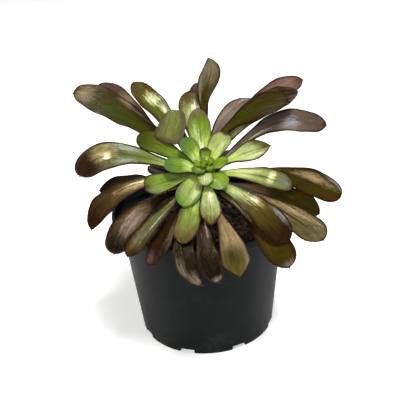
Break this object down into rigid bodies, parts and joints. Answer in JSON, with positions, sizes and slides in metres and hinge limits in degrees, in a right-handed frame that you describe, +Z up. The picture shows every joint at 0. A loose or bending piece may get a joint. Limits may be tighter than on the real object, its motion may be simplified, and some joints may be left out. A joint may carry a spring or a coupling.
{
  "type": "potted aeonium",
  "caption": "Tree aeonium with a leaning rosette of long spoon-shaped leaves, lime at the heart and bronze-purple outside, in a plain black nursery pot.",
  "frame": {"origin": "middle of the pot's flat underside, on the surface that the pot stands on", "axes": "+Z up along the pot's axis; -Y is the front, towards which the stem and rosette lean; +X to the right seen from the front"},
  "size_m": [0.1478, 0.138, 0.1524],
  "materials": {
    "leaf_lime": "waxy, satin",
    "leaf_green": "waxy, semi-gloss",
    "leaf_olive": "waxy, semi-gloss",
    "leaf_bronze": "waxy, glossy",
    "leaf_purple": "waxy, satin",
    "bark": "rough, matt",
    "soil": "rough, damp, matt",
    "pot": "moulded, satin"
  },
  "bodies": {
    "root": {"pot": "pot", "soil": "soil", "stem": "bark", "heart": "leaf_lime", "leaf_16": "leaf_green", "leaf_17": "leaf_green", "leaf_18": "leaf_green", "leaf_19": "leaf_olive", "leaf_20": "leaf_green", "leaf_21": "leaf_green", "leaf_22": "leaf_green", "leaf_23": "leaf_green", "leaf_24": "leaf_olive", "leaf_25": "leaf_olive", "leaf_26": "leaf_olive", "leaf_27": "leaf_bronze", "leaf_28": "leaf_olive", "leaf_29": "leaf_bronze", "leaf_30": "leaf_olive", "leaf_31": "leaf_bronze", "leaf_32": "leaf_purple", "leaf_33": "leaf_bronze", "leaf_34": "leaf_olive", "leaf_35": "leaf_green", "leaf_36": "leaf_purple", "leaf_37": "leaf_purple", "leaf_38": "leaf_olive", "leaf_39": "leaf_olive", "leaf_40": "leaf_purple", "leaf_41": "leaf_bronze", "leaf_42": "leaf_bronze", "leaf_43": "leaf_purple", "leaf_44": "leaf_bronze", "leaf_46": "leaf_bronze", "leaf_48": "leaf_purple", "leaf_52": "leaf_olive", "leaf_53": "leaf_bronze", "leaf_56": "leaf_bronze", "leaf_59": "leaf_purple", "leaf_61": "leaf_purple"}
  },
  "joints": []
}
